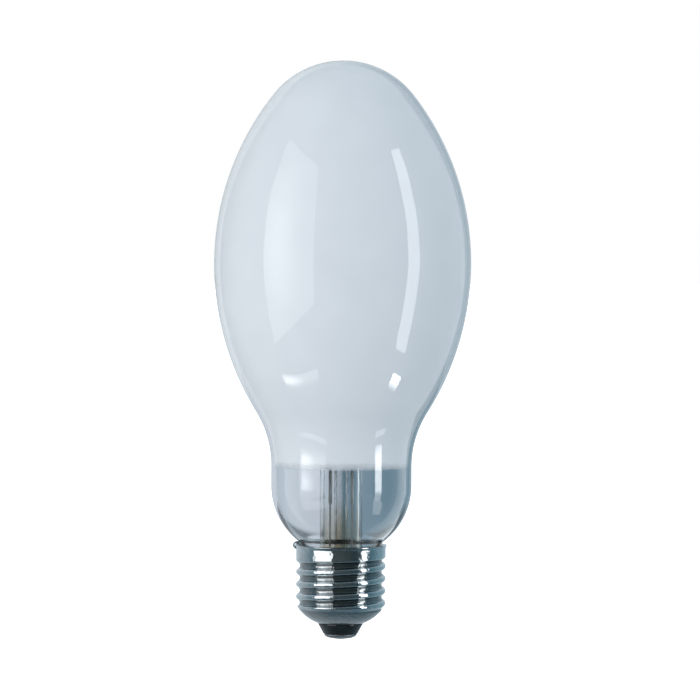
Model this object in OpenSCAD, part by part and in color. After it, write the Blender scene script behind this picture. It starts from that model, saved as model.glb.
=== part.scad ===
// High pressure sodium lamp with an elliptical coated bulb and an Edison screw cap.
// The origin is the lowest point of the centre contact, and +Z runs along the axis to the dome.

/* [Envelope] */
// Overall length, from the centre contact to the top of the dome
lamp_l = 169.1; // [164:0.1:174]
// Largest diameter of the bulb
bulb_d = 75; // [72:0.5:78]
// Height of the largest diameter
bulb_z = 109.9; // [107:0.1:112]
// Radius of the long curve of the side, below the largest diameter
side_r = 82; // [79:0.5:88]
// Radius of the dome
dome_r = 26; // [24:0.5:29]
// Diameter of the neck
neck_d = 41.1; // [39:0.1:43]
// Radius of the hollow curve from the side into the neck
waist_r = 30; // [24:0.5:36]
// Height where the neck starts to turn in towards the cap
shoulder_z = 45; // [43:0.1:46]
// Radius of that turn
shoulder_r = 20.5; // [19.5:0.1:21.5]
// Diameter of the glass inside the cap
seal_d = 22; // [20.5:0.1:22.1]
// Radius of the fillet above the glass inside the cap
seal_fillet = 3; // [2:0.1:4]
// Height of the lower end of the glass, where the stem is sealed on
seal_z = 18.2; // [17.2:0.1:18.9]
// Thickness of the glass
glass_t = 1; // [0.7:0.05:1.3]
// Thickness of the powder coat
coat_t = 0.1; // [0.05:0.05:0.3]
// Height of the lower edge of the coat
coat_z = 49.3; // [46:0.1:60]

/* [Screw shell] */
// Height of the rim of the cap
rim_z = 27.7; // [27.1:0.1:28.3]
// Diameter over the crests of the thread, and of the collar
crest_d = 26.3; // [26.05:0.05:26.45]
// Diameter at the roots of the thread
root_d = 24.1; // [23.96:0.02:24.26]
// Rise of the thread in one turn
thread_pitch = 3.629; // [3.5:0.001:3.75]
// Height of one crest on the +X side
crest_z = 14.3; // [12.5:0.1:16.1]
// Height where the groove has faded into the collar
thread_top = 24.4; // [23.7:0.1:25.1]
// Height over which it fades
thread_fade = 1.4; // [0.8:0.1:2]
// How far the rim is flared
rim_flare = 0.35; // [0.1:0.05:0.6]
// Height of the flare
rim_h = 1; // [0.6:0.1:1.6]
// Thickness of the rolled sheet
sheet_t = 0.35; // [0.25:0.05:0.4]
// Radius of the rounded lower cone
cone_r = 12.3; // [11.8:0.1:12.8]
// Distance of the centre of that radius from the axis
cone_x = 2.5; // [2.2:0.1:2.8]
// Diameter of the lip that holds the insulator
lip_d = 13.7; // [13.3:0.1:14.1]
// Height of the lip
lip_z = 4.8; // [4.5:0.1:5.1]

/* [Insulator and contact] */
// Diameter of the insulator where it leaves the lip
insulator_d = 13.2; // [12.6:0.1:13.2]
// Diameter of the insulator at its foot
foot_d = 10; // [9.8:0.1:10.4]
// Height of the top of the insulator inside the cap
insulator_top = 8.3; // [7.5:0.1:8.7]
// Bore of the insulator
insulator_bore = 2.84; // [2.7:0.02:3]
// Diameter of the centre contact
contact_d = 9.6; // [9:0.1:9.7]
// Height of the edge of the centre contact
contact_z = 1.6; // [1.3:0.1:1.9]
// Thickness of the contact sheet
contact_t = 0.4; // [0.3:0.05:0.5]
// Bore of the eyelet of the contact
eyelet_bore = 2.2; // [2:0.05:2.3]
// How far the solder stands out of the contact
solder_h = 0.2; // [0.1:0.05:0.3]
// Diameter of the solder on the contact
solder_d = 4.2; // [3.4:0.1:5]
// Radius of the solder lump on the rim
lump_r = 1.2; // [1:0.05:1.4]
// Height of the top of the cement in the cap
cement_top = 27.1; // [26.5:0.1:27.4]
// Height of the lower end of the cement
cement_low = 19.1; // [18.5:0.1:20.5]

/* [Stem] */
// Diameter of the stem tube
stem_d = 12.5; // [12:0.1:13.5]
// Wall of the stem tube
stem_t = 1.2; // [0.9:0.1:1.4]
// Height of the top of the press
press_top = 48.8; // [46.5:0.1:49.5]
// Height of the lower end of the flat press
press_low = 38; // [36.5:0.1:39.5]
// Height where the tube starts to flatten
pinch_low = 31.5; // [29.5:0.1:33.5]
// Thickness of the press
press_t = 4; // [3.2:0.1:5]
// Distance between the two lead wires
lead_gap = 6.5; // [6:0.1:7]
// Diameter of the lead wires in the press
lead_d = 1; // [0.8:0.05:1.2]
// Diameter of their thin tails in the cap
tail_d = 0.5; // [0.4:0.02:0.52]
// How far the lead wires stand above the press
lead_up = 6; // [5:0.1:8]
// Diameter of the exhaust tube
exhaust_d = 4; // [3.4:0.1:4.6]
// Wall of the exhaust tube
exhaust_t = 0.6; // [0.4:0.05:0.8]
// Height of the tip where the exhaust tube was melted shut
exhaust_tip = 13.5; // [13:0.1:14.5]

/* [Arc tube] */
// Length of the alumina tube
arc_l = 70; // [60:0.5:74]
// Height of its middle, the light centre
arc_z = 104.5; // [102.5:0.1:106.5]
// Outer diameter of the alumina tube
arc_d = 7.4; // [6.4:0.1:8.4]
// Wall of the alumina tube
arc_t = 0.8; // [0.6:0.05:1]
// Length of the end plugs
plug_l = 5; // [4:0.1:7]
// Outer diameter of the metal end tubes
end_tube_d = 3; // [2.4:0.1:3.4]
// Wall of the metal end tubes
end_tube_t = 0.3; // [0.2:0.05:0.4]
// How far the end tubes stand out of the alumina tube
end_tube_out = 8; // [6.5:0.1:10]
// How far they reach past the plugs inside
end_tube_in = 0.8; // [0.4:0.1:1.6]
// Diameter of the ring of sealing glass
frit_d = 5.2; // [4.4:0.1:5.8]
// Height of the ring of sealing glass
frit_h = 0.7; // [0.4:0.1:1]
// Diameter of the electrode rods
electrode_d = 0.9; // [0.7:0.05:1.1]
// Length of the electrode rods
electrode_l = 6; // [5:0.1:9]
// Diameter of the wire wound on the electrodes
winding_d = 0.5; // [0.35:0.05:0.6]
// Turns of that winding
winding_turns = 4; // [2:1:5]

/* [Frame] */
// Distance of the support rod from the axis
rod_x = 14; // [12:0.1:16]
// Diameter of the support rod
rod_d = 1.6; // [1.4:0.1:2]
// Rise of the slanted foot of the rod
rod_foot = 8; // [6:0.1:10]
// Width of the strips that hold the arc tube
strip_w = 5; // [4.4:0.1:6]
// Thickness of those strips
strip_t = 0.7; // [0.5:0.05:0.9]
// Distance of those strips from the ends of the alumina tube
strip_gap = 4; // [3:0.1:5]
// Width of the soft strap and of the dome spring
strap_w = 3; // [2.4:0.1:4]
// Thickness of the soft strap
strap_t = 0.2; // [0.15:0.05:0.3]
// Length of the welded legs of the soft strap
strap_leg = 2; // [1.5:0.1:3]
// Thickness of the dome spring
spring_t = 0.4; // [0.3:0.05:0.6]
// Angle above the level at which the dome spring leaves the glass
spring_a = 25; // [20:1:35]
// Diameter of the getter ring
getter_d = 9; // [7:0.1:11]
// Diameter of the wire that holds it
getter_wire = 0.8; // [0.6:0.05:1]
// Height of the middle of the getter ring
getter_z = 80.5; // [76:0.5:120]
// Distance of the getter ring from the rod
getter_y = 7; // [6:0.1:9]

/* [Hidden] */
$fn = 96;

// Clearance between pieces that are fused, cemented or welded to each other
fit = 0.02;
// Steps round the screw shell, and rows in one turn of its thread
shell_steps = 36;
turn_rows = 10;
cone_rows = 10;
rim_rows = 3;
// Steps of the curves of the envelope
dome_steps = 10;
crown_steps = 12;
side_steps = 11;
waist_steps = 8;
shoulder_steps = 12;
fillet_steps = 6;
// Sides of a bent wire, and steps in one of its bends
wire_sides = 14;
bend_steps = 6;

bulb_r = bulb_d / 2;
neck_r = neck_d / 2;
seal_r = seal_d / 2;
crest_r = crest_d / 2;
root_r = root_d / 2;
stem_r = stem_d / 2;
lead_x = lead_gap / 2;

// A point at an angle on a circle, and an arc between two angles
function on_circle(cx, cz, r, a) = [cx + r * cos(a), cz + r * sin(a)];
function arc(cx, cz, r, a1, a2, n) = [for (i = [0:n]) on_circle(cx, cz, r, a1 + (a2 - a1) * i / n)];
function reversed(list) = [for (i = [len(list) - 1:-1:0]) list[i]];
// A smooth step from 0 to 1
function ease(t) = let (u = min(1, max(0, t))) u * u * (3 - 2 * u);

// The dome is a circle about the axis, and the crown is the long curve that touches it and is upright
// at the largest diameter, where the side curve goes on
side_x = side_r - bulb_r;
dome_z = lamp_l - dome_r;
crown_x = (pow(dome_z - bulb_z, 2) - pow(bulb_r - dome_r, 2)) / (2 * (bulb_r - dome_r));
crown_r = bulb_r + crown_x;
dome_a = atan2(dome_z - bulb_z, crown_x);
// The waist is a hollow circle that touches the side curve and the neck
waist_x = neck_r + waist_r;
waist_dz = sqrt(pow(side_r + waist_r, 2) - pow(waist_x + side_x, 2));
waist_a = atan2(waist_dz, waist_x + side_x);
// The fillet touches the shoulder and the glass inside the cap
shoulder_x = neck_r - shoulder_r;
fillet_x = seal_r + seal_fillet;
fillet_dz = sqrt(pow(shoulder_r + seal_fillet, 2) - pow(fillet_x - shoulder_x, 2));
fillet_a = atan2(fillet_dz, fillet_x - shoulder_x);

// The outline of the envelope from the dome to the seal, set in from its outer face by k
function envelope(k) = concat(
    [[0, lamp_l - k]],
    [for (i = [1:dome_steps]) on_circle(0, dome_z, dome_r - k, 90 + (dome_a - 90) * i / dome_steps)],
    [for (i = [1:crown_steps])
        on_circle(-crown_x, bulb_z, crown_r - k, dome_a * (crown_steps - i) / crown_steps)],
    [for (i = [1:side_steps]) on_circle(-side_x, bulb_z, side_r - k, -waist_a * i / side_steps)],
    [for (i = [1:waist_steps])
        on_circle(waist_x, bulb_z - waist_dz, waist_r + k, 180 - waist_a + waist_a * i / waist_steps)],
    arc(shoulder_x, shoulder_z, shoulder_r - k, 0, -fillet_a, shoulder_steps),
    [for (i = [1:fillet_steps])
        on_circle(fillet_x, shoulder_z - fillet_dz, seal_fillet + k,
                  180 - fillet_a + fillet_a * i / fillet_steps)],
    [[seal_r - k, seal_z]]);

// The blown glass envelope, open at its lower end
module outer_bulb() {
    color("lightsteelblue", 0.35)
        rotate_extrude() polygon(concat(envelope(0), reversed(envelope(glass_t))));
}

// The white powder on the inside of the glass, down to its lower edge in the neck
module diffusing_coat() {
    color("whitesmoke")
        rotate_extrude() intersection() {
            polygon(concat(envelope(glass_t), reversed(envelope(glass_t + coat_t))));
            translate([0, coat_z]) square([bulb_d, lamp_l]);
        }
}

// The centre of the rounded lower cone, and its angles at the crests and at the lip
cone_z = lip_z + sqrt(pow(cone_r, 2) - pow(lip_d / 2 - cone_x, 2));
cone_a1 = acos((crest_r - cone_x) / cone_r);
cone_a2 = acos((lip_d / 2 - cone_x) / cone_r);
cone_top = cone_z - cone_r * sin(cone_a1);

// Radius of the rounded thread: two equal circles that touch a quarter turn from the crest
thread_h = (crest_r - root_r) / 2;
thread_q = thread_pitch / 4;
thread_r = (pow(thread_h, 2) + pow(thread_q, 2)) / (2 * thread_h);
function thread_at(a, z) =
    let (turn = (z - crest_z) / thread_pitch - a / 360,
         d = abs(turn - round(turn)) * thread_pitch)
    d < thread_q ? crest_r - thread_r + sqrt(pow(thread_r, 2) - pow(d, 2))
                 : root_r + thread_r - sqrt(pow(thread_r, 2) - pow(2 * thread_q - d, 2));

// Radius of the outer face of the shell above the cone, at an angle and a height
function flare_at(z) = rim_flare * ease((z - rim_z + rim_h) / rim_h);
function shell_at(a, z) =
    crest_r + flare_at(z) - (crest_r - thread_at(a, z)) * ease((thread_top - z) / thread_fade);

// The rows of the shell from the rim to the lip: height, direction of the face and radius of the cone
thread_rows = ceil((thread_top - cone_top) / (thread_pitch / turn_rows));
shell_rows = concat(
    [for (i = [0:rim_rows]) [rim_z - rim_h * i / rim_rows, 1, 0, bulb_d]],
    [for (i = [0:thread_rows - 1]) [thread_top - (thread_top - cone_top) * i / thread_rows, 1, 0, bulb_d]],
    [for (i = [0:cone_rows]) let (a = cone_a1 + (cone_a2 - cone_a1) * i / cone_rows)
        [cone_z - cone_r * sin(a), cos(a), -sin(a), cone_x + cone_r * cos(a)]]);
function shell_point(row, a, t) =
    let (r = min(row[3], shell_at(a, row[0])) - t * row[1])
    [r * cos(a), r * sin(a), row[0] - t * row[2]];

// The rolled sheet shell: its outer face down from the rim, then its inner face back up
module screw_shell() {
    rings = concat([for (row = shell_rows) [row, 0]], [for (row = reversed(shell_rows)) [row, sheet_t]]);
    points = [for (ring = rings) for (j = [0:shell_steps - 1])
        shell_point(ring[0], 360 * j / shell_steps, ring[1])];
    n = len(rings);
    faces = [for (i = [0:n - 1]) for (j = [0:shell_steps - 1])
        let (k = (i + 1) % n, m = (j + 1) % shell_steps,
             p = i * shell_steps + j, q = i * shell_steps + m,
             r = k * shell_steps + m, s = k * shell_steps + j)
        each [[p, q, r], [p, r, s]]];
    color("silver") polyhedron(points, faces);
}

// What fits inside the many-sided shell is this much narrower than its corners
inside = cos(180 / shell_steps);

// The outline of the contact button, at an angle from its edge to its middle
function button(r, h, a) = [r * pow(cos(a), 0.667), contact_z - h * pow(sin(a), 0.909)];
button_h = contact_z - solder_h;
button_steps = 12;
function button_outline(k, bore) = concat(
    [for (i = [0:button_steps]) let (p = button(contact_d / 2 - k, button_h - k, 84 * i / button_steps))
        if (p[0] > bore / 2 + 0.05) p],
    [[bore / 2, button_foot(k, bore / 2)[1]]]);
// The point of the button outline at a given radius
function button_foot(k, r) = button(contact_d / 2 - k, button_h - k,
                                    acos(pow(r / (contact_d / 2 - k), 1.5)));

// The black glass that carries the contact and fills the lower end of the shell
module insulator() {
    seat_r = cone_r - sheet_t - fit;
    a_top = asin((cone_z - insulator_top) / seat_r);
    a_low = acos((insulator_d / 2 - cone_x) / seat_r);
    seat = [for (p = arc(cone_x, cone_z, seat_r, -a_top, -a_low, 8)) [p[0] * inside, p[1]]];
    bore = insulator_bore / 2;
    color("#22282a")
        rotate_extrude() polygon(concat(
            seat,
            [[insulator_d / 2 * inside, lip_z - sheet_t], [foot_d / 2, contact_z + fit]],
            button_outline(contact_t + fit, insulator_bore),
            [[bore, insulator_top - 3], [bore + 1.2, insulator_top - 1.6], [seat[0][0] - 2.5, insulator_top]]));
}

// The pressed contact with its short eyelet
module centre_contact() {
    bore = eyelet_bore / 2;
    shank = insulator_bore / 2 - fit;
    inner = button_outline(contact_t, insulator_bore - 2 * fit);
    color("gray")
        rotate_extrude() polygon(concat(
            button_outline(0, eyelet_bore),
            [[bore, contact_z + contact_t], [shank, contact_z + contact_t]],
            reversed(inner)));
}

// The solder that fills the eyelet and stands out below it
module centre_solder() {
    edge = button_foot(0, solder_d / 2);
    ball_r = (pow(edge[0], 2) + pow(edge[1], 2)) / (2 * edge[1]);
    edge_a = asin(edge[0] / ball_r);
    neck = eyelet_bore / 2 - fit;
    color("darkgray")
        rotate_extrude() polygon(concat(
            [for (i = [0:6]) on_circle(0, ball_r, ball_r, -90 + edge_a * i / 6)],
            [for (i = [1:5]) button_foot(0, edge[0] + (neck + fit - edge[0]) * i / 5) - [0, fit]],
            [[neck, contact_z], [0, contact_z]]));
}

// The solid that the rim of the shell fills, for what is laid over it
module rim_solid() {
    rotate_extrude() polygon(concat(
        [[0, thread_top], [crest_r + fit, thread_top]],
        [for (i = [rim_rows:-1:0]) let (z = rim_z - rim_h * i / rim_rows) [crest_r + flare_at(z) + fit, z]],
        [[crest_r + rim_flare + fit, rim_z + fit], [0, rim_z + fit]]));
}

// The solder that fixes the side wire to the rim, over the edge on the -X side
module side_solder() {
    color("lightslategray")
        difference() {
            translate([-(crest_r - 0.25), 0, rim_z - 0.2]) sphere(r = lump_r);
            rim_solid();
            rotate_extrude() polygon(concat(envelope(-fit), [[0, seal_z]]));
            wire(side_tail, tail_d + 2 * fit, tail_bend);
        }
}

// The cement between the glass and the shell
module cap_cement() {
    collar = (crest_r - sheet_t) * inside - fit;
    groove = (root_r - sheet_t) * inside - fit;
    color("#8d8a80")
        difference() {
            rotate_extrude() difference() {
                polygon([[0, cement_low], [groove, cement_low], [groove, thread_top],
                         [collar, thread_top], [collar, cement_top], [0, cement_top]]);
                polygon(concat(envelope(-fit), [[0, seal_z]]));
            }
            wire(side_tail, tail_d + 2 * fit, tail_bend);
        }
}

// The width of the stem across the press: a round tube below, a flat press above
function pinch_half(z, low, wide, narrow) = wide + (narrow - wide) * ease((z - low) / (press_low - low));
module pinch_form(low, wide, narrow, top) {
    side = [for (i = [0:8]) let (z = low + (press_low - low) * i / 8) [pinch_half(z, low, wide, narrow), z]];
    outline = concat([[wide, 0]], side, [[narrow, top]]);
    rotate([90, 0, 90])
        linear_extrude(height = 2 * seal_d, center = true)
            polygon(concat(outline, [for (p = reversed(outline)) [-p[0], p[1]]]));
}

// The stem: a tube flared at its foot to meet the glass, and pressed flat on the lead wires
module stem() {
    bore = stem_r - stem_t;
    turn_x = seal_r - glass_t;
    turn_z = seal_z + turn_x - stem_r;
    color("lightcyan", 0.5)
        difference() {
            intersection() {
                rotate_extrude() polygon(concat(
                    [[0, press_top], [stem_r, press_top]],
                    arc(turn_x, turn_z, turn_x - stem_r, 180, 270, 8),
                    [[seal_r, seal_z], [seal_r, seal_z - stem_t], [0, seal_z - stem_t]]));
                pinch_form(pinch_low, seal_r + 1, press_t / 2, press_top);
            }
            intersection() {
                rotate_extrude() polygon(concat(
                    [[0, press_low], [bore, press_low]],
                    arc(turn_x, turn_z, turn_x - bore, 180, 270, 8),
                    [[turn_x, 0], [0, 0]]));
                pinch_form(pinch_low - stem_t, seal_r + 1, press_t / 4, press_low);
            }
            for (side = [-1, 1]) translate([side * lead_x, 0, press_low - 1])
                cylinder(d = lead_d + 2 * fit, h = press_top);
        }
}

// The thin tube through which the bulb was pumped, melted shut at its tip
module exhaust_tube() {
    r = exhaust_d / 2;
    wall_z = exhaust_tip + exhaust_d;
    // Where the flattened bore of the stem has closed in on the tube
    top = pinch_low - stem_t;
    color("lightcyan", 0.5)
        rotate_extrude() polygon(concat(
            arc(0, exhaust_tip + exhaust_t, exhaust_t, -90, -30, 3),
            [[r, wall_z], [r, top + fit], [r - exhaust_t, top + fit], [r - exhaust_t, wall_z],
             [0, exhaust_tip + 2 * exhaust_t]]));
}

// A round wire bent in the XZ plane: its heading along each length, and the turn at each corner
function heading(path, i) = atan2(path[i + 1][1] - path[i][1], path[i + 1][0] - path[i][0]);
function turn_at(path, i) =
    let (a = heading(path, i) - heading(path, i - 1)) a > 180 ? a - 360 : a < -180 ? a + 360 : a;
function left_of(a) = [-sin(a), cos(a)];
// The wire's stations: a point and a heading at both ends, and along the round bend of each corner
function bend(path, i, bend_r) =
    let (a = heading(path, i - 1), turn = turn_at(path, i), side = sign(turn) * bend_r,
         start = path[i] - bend_r * tan(abs(turn) / 2) * [cos(a), sin(a)],
         centre = start + side * left_of(a))
    [for (k = [0:bend_steps]) let (b = a + turn * k / bend_steps) [centre - side * left_of(b), b]];
function stations(path, bend_r) = concat(
    [[path[0], heading(path, 0)]],
    [for (i = [1:1:len(path) - 2]) each bend(path, i, bend_r)],
    [[path[len(path) - 1], heading(path, len(path) - 2)]]);
// The wire itself, a round section carried through its stations
module wire(path, d, bend_r) {
    rings = stations(path, bend_r);
    n = len(rings);
    points = [for (ring = rings) for (j = [0:wire_sides - 1])
        let (a = 360 * j / wire_sides, p = ring[0] + d / 2 * cos(a) * left_of(ring[1]))
        [p[0], d / 2 * sin(a), p[1]]];
    faces = concat(
        [for (i = [0:n - 2]) for (j = [0:wire_sides - 1])
            let (p = i * wire_sides + j, q = i * wire_sides + (j + 1) % wire_sides)
            each [[p, q, q + wire_sides], [p, q + wire_sides, p + wire_sides]]],
        [[for (j = [wire_sides - 1:-1:0]) j]],
        [[for (j = [0:wire_sides - 1]) (n - 1) * wire_sides + j]]);
    polyhedron(points, faces);
}

// The thin tail of the left wire: out under the flare, up beside the glass and over the rim
tail_bend = 2 * tail_d;
tail_weld = pinch_low - 2;
tail_x = seal_r + fit + tail_d / 2 + 0.03;
tail_z = seal_z - stem_t - tail_bend;
side_tail = [
    [-lead_x, tail_weld + tail_d], [-lead_x, tail_z], [-tail_x, tail_z],
    [-tail_x, cement_top - 1.4], [-tail_x - 0.75, rim_z + 0.1]];
// The thin tail of the right wire: down to the axis and into the eyelet
centre_tail = [
    [lead_x, tail_weld + tail_d], [lead_x, exhaust_tip - 1], [0, insulator_top + 0.6], [0, contact_z + fit]];

// A lead wire: the thick part through the press, then its thin tail in the cap
module lead_wire(side, tail) {
    translate([side * lead_x, 0, tail_weld]) cylinder(d = lead_d, h = press_top + lead_up - tail_weld);
    wire(tail, tail_d, tail_bend);
}
module lead_wire_left() { color("dimgray") lead_wire(-1, side_tail); }
module lead_wire_right() { color("dimgray") lead_wire(1, centre_tail); }

arc_low = arc_z - arc_l / 2;
arc_top = arc_z + arc_l / 2;
hoop_r = sqrt(pow(dome_r - glass_t - coat_t, 2) - pow(strap_w / 2, 2)) - 2 * fit;
hoop_z = dome_z + hoop_r * sin(spring_a);
lead_top = press_top + lead_up;

// The support rod: welded beside the left lead wire, out to the side and up to the dome spring
module frame_rod() {
    foot_x = -(lead_x + lead_d / 2 + rod_d / 2 + fit);
    color("lightgray")
        wire([[foot_x, press_top + 1], [foot_x, lead_top], [-rod_x, lead_top + rod_foot],
              [-rod_x, hoop_z - spring_t - fit]], rod_d, 2 * rod_d);
}

// The strip from the right lead wire to the lower end tube of the arc tube
module lower_bracket() {
    leg_x = lead_x + lead_d / 2 + fit;
    z = arc_low - strip_gap - strip_t;
    color("lightgray")
        difference() {
            union() {
                translate([leg_x, -strip_w / 2, press_top + 1.5])
                    cube([strip_t, strip_w, z + strip_t - press_top - 1.5]);
                translate([-strip_w / 2, -strip_w / 2, z]) cube([leg_x + strip_t + strip_w / 2, strip_w, strip_t]);
            }
            translate([0, 0, z - 1]) cylinder(d = end_tube_d + 2 * fit, h = strip_t + 2);
        }
}

// The strip from the rod to the upper end tube, which slides in its hole
module upper_crossbar() {
    z = arc_top + strip_gap;
    color("lightgray")
        difference() {
            translate([-rod_x - strip_w / 2, -strip_w / 2, z]) cube([rod_x + strip_w, strip_w, strip_t]);
            translate([0, 0, z - 1]) cylinder(d = end_tube_d + 5 * fit, h = strip_t + 2);
            translate([-rod_x, 0, z - 1]) cylinder(d = rod_d + 2 * fit, h = strip_t + 2);
        }
}

// The spring hoop that follows the dome, with the straight strip that closes it
module dome_spring() {
    half = hoop_r * cos(spring_a);
    color("silver")
        intersection() {
            translate([0, 0, dome_z]) rotate([90, 0, 0])
                translate([0, 0, -strap_w / 2]) linear_extrude(height = strap_w) union() {
                    difference() {
                        circle(r = hoop_r);
                        circle(r = hoop_r - spring_t);
                    }
                    translate([-half, hoop_z - dome_z - spring_t]) square([2 * half, spring_t]);
                }
            translate([-half, -strap_w, hoop_z - spring_t]) cube([2 * half, 2 * strap_w, dome_r]);
        }
}

// The soft strap that carries the current while the arc tube grows
module expansion_strap() {
    x1 = -rod_x + rod_d / 2 + fit;
    x2 = -end_tube_d / 2 - fit;
    r = (x2 - x1) / 2;
    z = arc_top + strip_gap + strip_t + fit;
    color("silver")
        translate([(x1 + x2) / 2, strap_w / 2, z]) rotate([90, 0, 0])
            linear_extrude(height = strap_w) {
                intersection() {
                    difference() {
                        translate([0, strap_leg]) circle(r = r);
                        translate([0, strap_leg]) circle(r = r - strap_t);
                    }
                    translate([-r, strap_leg]) square([2 * r, r]);
                }
                translate([-r, 0]) square([strap_t, strap_leg]);
                translate([r - strap_t, 0]) square([strap_t, strap_leg]);
            }
}

// The channel ring that holds the gas-binding metal, face outwards
module getter_ring() {
    r = getter_d / 2;
    color("slategray")
        translate([-rod_x, -getter_y, getter_z]) rotate([90, 0, 0])
            rotate_extrude() difference() {
                translate([r - 1.4, 0]) square([1.4, 1.2]);
                translate([r - 1.1, 0.3]) square([0.8, 1.2]);
            }
}

// The wire from the rod to the back of the ring
module getter_holder() {
    color("lightgray")
        translate([-rod_x, -rod_d / 2 - fit, getter_z - getter_d / 2 + 0.7]) rotate([90, 0, 0])
            cylinder(d = getter_wire, h = getter_y - rod_d / 2 - 2 * fit);
}

// The translucent alumina tube
module arc_tube() {
    color("ivory", 0.8)
        translate([0, 0, arc_low]) difference() {
            cylinder(d = arc_d, h = arc_l);
            translate([0, 0, -1]) cylinder(d = arc_d - 2 * arc_t, h = arc_l + 2);
        }
}

// The pieces of the lower end, drawn with the end of the alumina tube at height 0
module end_plug() {
    color("ivory")
        difference() {
            cylinder(d = arc_d - 2 * arc_t - 2 * fit, h = plug_l);
            translate([0, 0, -1]) cylinder(d = end_tube_d + 2 * fit, h = plug_l + 2);
        }
}
module end_tube() {
    color("gray")
        difference() {
            translate([0, 0, -end_tube_out]) cylinder(d = end_tube_d, h = end_tube_out + plug_l + end_tube_in);
            translate([0, 0, -end_tube_out - 1])
                cylinder(d = end_tube_d - 2 * end_tube_t, h = end_tube_out + plug_l + 1);
        }
}
module seal_frit() {
    color("burlywood")
        translate([0, 0, -frit_h - fit]) rotate_extrude() difference() {
            translate([end_tube_d / 2 + fit, 0])
                square([frit_d / 2 - end_tube_d / 2 - fit, frit_h]);
            translate([frit_d / 2, 0]) circle(r = frit_h * 0.7);
        }
}

// A wire wound on the electrode rod: a six-sided wire carried along a helix
module winding(r, d, turns, steps = 14) {
    n = turns * steps;
    points = [for (i = [0:n]) for (j = [0:5])
        let (a = 360 * i / steps, x = r + d / 2 * cos(60 * j))
        [x * cos(a), x * sin(a), (d + fit) * i / steps + d / 2 * sin(60 * j)]];
    faces = concat(
        [for (i = [0:n - 1]) for (j = [0:5]) let (p = 6 * i + j, q = 6 * i + (j + 1) % 6)
            each [[p, q, q + 6], [p, q + 6, p + 6]]],
        [[5, 4, 3, 2, 1, 0]], [[for (j = [0:5]) 6 * n + j]]);
    polyhedron(points, faces);
}
module electrode() {
    color("dimgray")
        translate([0, 0, plug_l + end_tube_in + fit]) {
            cylinder(d = electrode_d, h = electrode_l);
            translate([0, 0, electrode_l - (winding_turns + 1) * (winding_d + fit)])
                winding(electrode_d / 2 + winding_d / 2 - fit, winding_d, winding_turns);
        }
}

module at_lower_end() { translate([0, 0, arc_low]) children(); }
module at_upper_end() { translate([0, 0, arc_top]) rotate([180, 0, 0]) children(); }

outer_bulb();
diffusing_coat();
screw_shell();
insulator();
centre_contact();
centre_solder();
side_solder();
cap_cement();
stem();
exhaust_tube();
lead_wire_left();
lead_wire_right();
frame_rod();
lower_bracket();
upper_crossbar();
dome_spring();
expansion_strap();
getter_ring();
getter_holder();
arc_tube();
at_lower_end() end_plug();  // end_plug_lower
at_upper_end() end_plug();  // end_plug_upper
at_lower_end() end_tube();  // niobium_tube_lower
at_upper_end() end_tube();  // niobium_tube_upper
at_lower_end() seal_frit();  // seal_frit_lower
at_upper_end() seal_frit();  // seal_frit_upper
at_lower_end() electrode();  // electrode_lower
at_upper_end() electrode();  // electrode_upper
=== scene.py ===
"""The looks of an elliptical high pressure sodium lamp with a coated bulb and an Edison screw cap.

The lamp stands on its axis: the lowest point of its centre contact is the origin, and +Z runs up to the
dome. Sizes are in metres. Each section below is one piece of the lamp, in the order of assembly.
"""

import bpy
import numpy as np
from mathutils import Matrix, Vector


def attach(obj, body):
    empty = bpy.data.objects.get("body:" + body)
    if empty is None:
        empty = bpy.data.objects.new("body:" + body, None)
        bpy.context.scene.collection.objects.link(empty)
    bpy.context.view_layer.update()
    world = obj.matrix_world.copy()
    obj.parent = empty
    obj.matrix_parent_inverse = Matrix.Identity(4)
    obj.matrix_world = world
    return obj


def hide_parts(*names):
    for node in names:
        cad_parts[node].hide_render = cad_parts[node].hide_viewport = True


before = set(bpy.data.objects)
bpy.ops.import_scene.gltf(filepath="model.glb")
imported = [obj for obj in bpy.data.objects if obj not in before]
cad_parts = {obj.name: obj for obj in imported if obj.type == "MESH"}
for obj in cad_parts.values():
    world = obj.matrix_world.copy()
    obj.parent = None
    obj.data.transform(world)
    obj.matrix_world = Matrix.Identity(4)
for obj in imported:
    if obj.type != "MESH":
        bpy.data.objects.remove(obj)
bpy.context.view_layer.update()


# Outer bulb
# The envelope is blown in a mould from borosilicate tube, with a wall of 1 mm, then worked in at its foot
# to the narrow neck that is sealed to the stem inside the cap.

MM = 0.001
BULB_LENGTH = 169.1 * MM
BULB_RADIUS = 37.5 * MM
WIDEST_Z = 109.9 * MM
SIDE_RADIUS = 82 * MM
DOME_RADIUS = 26 * MM
NECK_RADIUS = 20.55 * MM
HOLLOW_RADIUS = 30 * MM
SHOULDER_Z = 45 * MM
SHOULDER_RADIUS = 20.5 * MM
SEAL_RADIUS = 11 * MM
SEAL_FILLET = 3 * MM
SEAL_Z = 18.2 * MM
GLASS_WALL = 1 * MM
BULB_STEPS = 144


def arc(centre_x, centre_z, radius, start, end, count):
    """Points on a circle: centre plus radius times (cos a, sin a), for count angles from start to end."""
    angle = np.linspace(start, end, count)
    return np.stack([centre_x + radius * np.cos(angle), centre_z + radius * np.sin(angle)], axis=1)


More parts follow.
